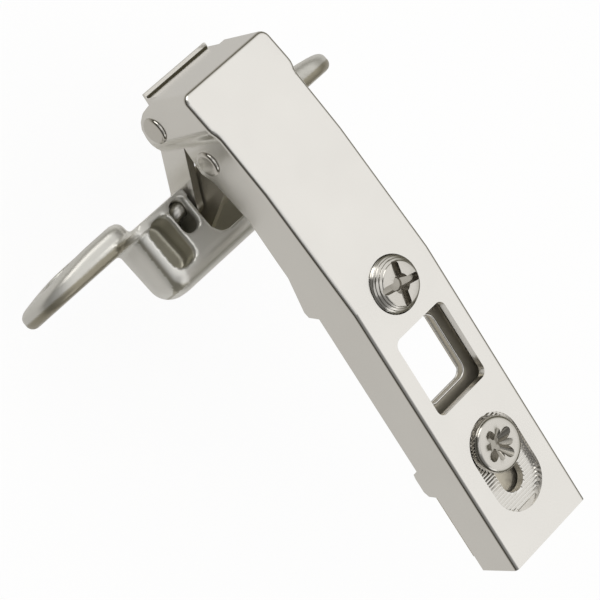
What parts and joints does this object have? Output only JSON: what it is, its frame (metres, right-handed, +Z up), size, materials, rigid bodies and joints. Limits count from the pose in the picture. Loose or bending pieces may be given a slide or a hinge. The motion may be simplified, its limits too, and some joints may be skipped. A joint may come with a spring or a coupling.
{
  "type": "blind corner hinge",
  "caption": "Concealed cabinet hinge for blind corners: 35 mm cup with screw wings, linkage and a slotted arm with depth and side adjustment, shown open.",
  "frame": {"origin": "middle of the adapter's flat mounting face under the clamp screw", "axes": "+X from the nose to the arm's tail, +Y across to the far side, +Z up through the arm's top"},
  "size_m": [0.081, 0.063, 0.0437],
  "materials": {
    "nickel_steel": "bright nickel-plated pressed steel, satin reflections",
    "spring_steel": "plain spring steel, slightly oiled",
    "brass_liner": "turned brass, dull",
    "plastic": "off-white acetal"
  },
  "bodies": {
    "base": {"adapter": "nickel_steel", "clamp_nut": "nickel_steel"},
    "clamp_screw_body": {"clamp_screw": "nickel_steel"},
    "shoe_body": {"slide_shoe": "nickel_steel"},
    "side_screw_body": {"side_adjust_screw": "nickel_steel", "neck_washer": "spring_steel"},
    "arm_body": {"arm": "nickel_steel", "front_rivet": "nickel_steel", "rear_rivet": "nickel_steel", "front_bush": "brass_liner", "rear_bush": "brass_liner", "front_spacers": "spring_steel", "rear_spacers": "spring_steel", "closing_spring": "spring_steel", "spring_follower": "plastic"},
    "outer_link_body": {"outer_link": "nickel_steel"},
    "inner_link_body": {"inner_link": "nickel_steel"},
    "cup_body": {"cup": "nickel_steel", "near_cup_pin": "spring_steel", "far_cup_pin": "spring_steel"}
  },
  "joints": [
    {"name": "clamp_screw_turn", "type": "hinge", "parent": "base", "child": "clamp_screw_body", "pos_m": [0, 0, 0.01], "axis": [0, 0, 1], "continuous": true},
    {"name": "depth_slide", "type": "slide", "parent": "base", "child": "shoe_body", "axis": [1, 0, 0], "range_m": [-0.0058, 0]},
    {"name": "side_screw_turn", "type": "hinge", "parent": "shoe_body", "child": "side_screw_body", "pos_m": [-0.02736, 0, 0.01], "axis": [0, 0, 1], "range_deg": [-340, 136]},
    {"name": "side_tilt", "type": "hinge", "parent": "shoe_body", "child": "arm_body", "pos_m": [0, 0, 0.0094], "axis": [0, 1, 0], "range_deg": [-0.79, 1.97]},
    {"name": "outer_link_hinge", "type": "hinge", "parent": "arm_body", "child": "outer_link_body", "pos_m": [-0.0605, 0, -0.0067], "axis": [0, 1, 0], "range_deg": [0, 14.4]},
    {"name": "inner_link_hinge", "type": "hinge", "parent": "arm_body", "child": "inner_link_body", "pos_m": [-0.054, 0, -0.0006], "axis": [0, 1, 0], "range_deg": [0, 32.3]},
    {"name": "cup_hinge", "type": "hinge", "parent": "outer_link_body", "child": "cup_body", "pos_m": [-0.0478, 0, -0.0143], "axis": [0, 1, 0], "range_deg": [0, 93.1]}
  ],
  "couplings": [
    {"joint": "side_screw_turn", "follows": "side_tilt", "ratio": -171.82},
    {"joint": "outer_link_hinge", "follows": "cup_hinge", "ratio": 0.1542},
    {"joint": "inner_link_hinge", "follows": "cup_hinge", "ratio": 0.3465}
  ]
}
